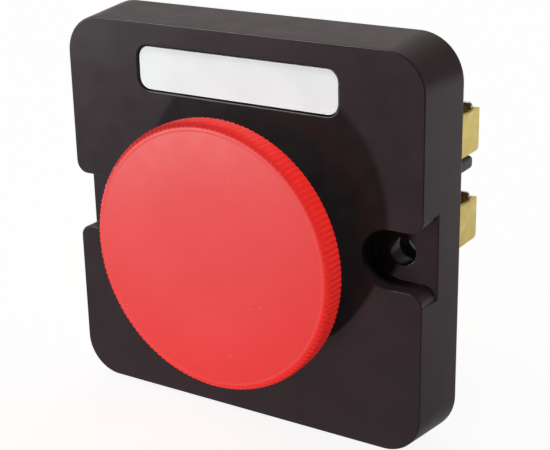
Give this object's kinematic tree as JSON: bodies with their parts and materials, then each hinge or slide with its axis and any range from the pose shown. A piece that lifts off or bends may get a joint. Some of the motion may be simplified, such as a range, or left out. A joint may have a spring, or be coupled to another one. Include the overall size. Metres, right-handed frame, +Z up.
{
  "type": "emergency stop button",
  "caption": "Flat red mushroom head with a knurled rim on a square black front with side screw pockets, and a contact block with brass terminals behind it.",
  "frame": {"origin": "midway between the two side screw holes, in the plane of the housing's rear face", "axes": "+Y into the panel, away from the user; +Z up, towards the label; +X to the right as the user faces the button"},
  "size_m": [0.0794, 0.0725, 0.0772],
  "materials": {
    "black_plastic": "satin",
    "label": "satin",
    "rubber": "matt",
    "red_cap": "satin",
    "black_plastic_inner": "satin",
    "zinc_steel": "zinc plated",
    "pale_plastic": "matt",
    "spring_steel": "bright",
    "block_plastic": "matt",
    "silver": "bright",
    "brass": "plain",
    "nickel_plate": "bright"
  },
  "bodies": {
    "base": {"front_housing": "black_plastic", "label_plate": "label", "stem_seal": "rubber", "latch_frame": "pale_plastic", "latch_cover": "zinc_steel", "latch_spring_left": "spring_steel", "latch_spring_right": "spring_steel", "return_spring": "spring_steel", "contact_block": "block_plastic", "block_screws": "zinc_steel", "fixed_contact_tips": "silver", "terminal_screws": "zinc_steel", "fixed_contact_nc_left": "brass", "fixed_contact_nc_right": "brass", "fixed_contact_no_left": "brass", "fixed_contact_no_right": "brass", "terminal_cage_nc_left": "brass", "terminal_cage_nc_right": "brass", "terminal_cage_no_left": "brass", "terminal_cage_no_right": "brass", "clamp_plate_nc_left": "nickel_plate", "clamp_plate_nc_right": "nickel_plate", "clamp_plate_no_left": "nickel_plate", "clamp_plate_no_right": "nickel_plate"},
    "pusher": {"contact_carrier": "pale_plastic", "retaining_clip": "spring_steel", "twist_spring": "spring_steel", "nc_bridge_spring": "spring_steel", "no_bridge_spring": "spring_steel"},
    "button": {"mushroom_cap": "red_cap", "stem": "black_plastic_inner", "cap_screw": "zinc_steel"},
    "nc_bridge_body": {"nc_bridge": "brass", "nc_bridge_tips": "silver"},
    "no_bridge_body": {"no_bridge": "brass", "no_bridge_tips": "silver"},
    "latch_left": {"latch_slider_left": "zinc_steel"},
    "latch_right": {"latch_slider_right": "zinc_steel"}
  },
  "joints": [
    {"name": "press", "type": "slide", "parent": "base", "child": "pusher", "axis": [0, 1, 0], "range_m": [0, 0.004], "stiffness_N_per_m": 3000, "springref_m": -0.003, "deforming": ["return_spring"]},
    {"name": "twist", "type": "hinge", "parent": "pusher", "child": "button", "pos_m": [0, 0, -0.0027], "axis": [0, 1, 0], "range_deg": [0, 45], "stiffness_Nm_per_rad": 0.05, "springref_deg": -11.46, "deforming": ["twist_spring"]},
    {"name": "latch_left_slide", "type": "slide", "parent": "base", "child": "latch_left", "axis": [1, 0, 0], "range_m": [0, 0.001], "deforming": ["latch_spring_left"]},
    {"name": "latch_right_slide", "type": "slide", "parent": "base", "child": "latch_right", "axis": [-1, 0, 0], "range_m": [0, 0.001], "deforming": ["latch_spring_right"]},
    {"name": "nc_bridge_slide", "type": "slide", "parent": "pusher", "child": "nc_bridge_body", "axis": [0, -1, 0], "range_m": [0, 0.001], "deforming": ["nc_bridge_spring"]},
    {"name": "no_bridge_slide", "type": "slide", "parent": "pusher", "child": "no_bridge_body", "axis": [0, -1, 0], "range_m": [0, 0.001], "deforming": ["no_bridge_spring"]}
  ],
  "couplings": [
    {"joint": "latch_left_slide", "follows": "press", "ratio": 0.25},
    {"joint": "latch_right_slide", "follows": "press", "ratio": 0.25},
    {"joint": "nc_bridge_slide", "follows": "press", "ratio": 0.25},
    {"joint": "no_bridge_slide", "follows": "press", "ratio": 0.25}
  ]
}
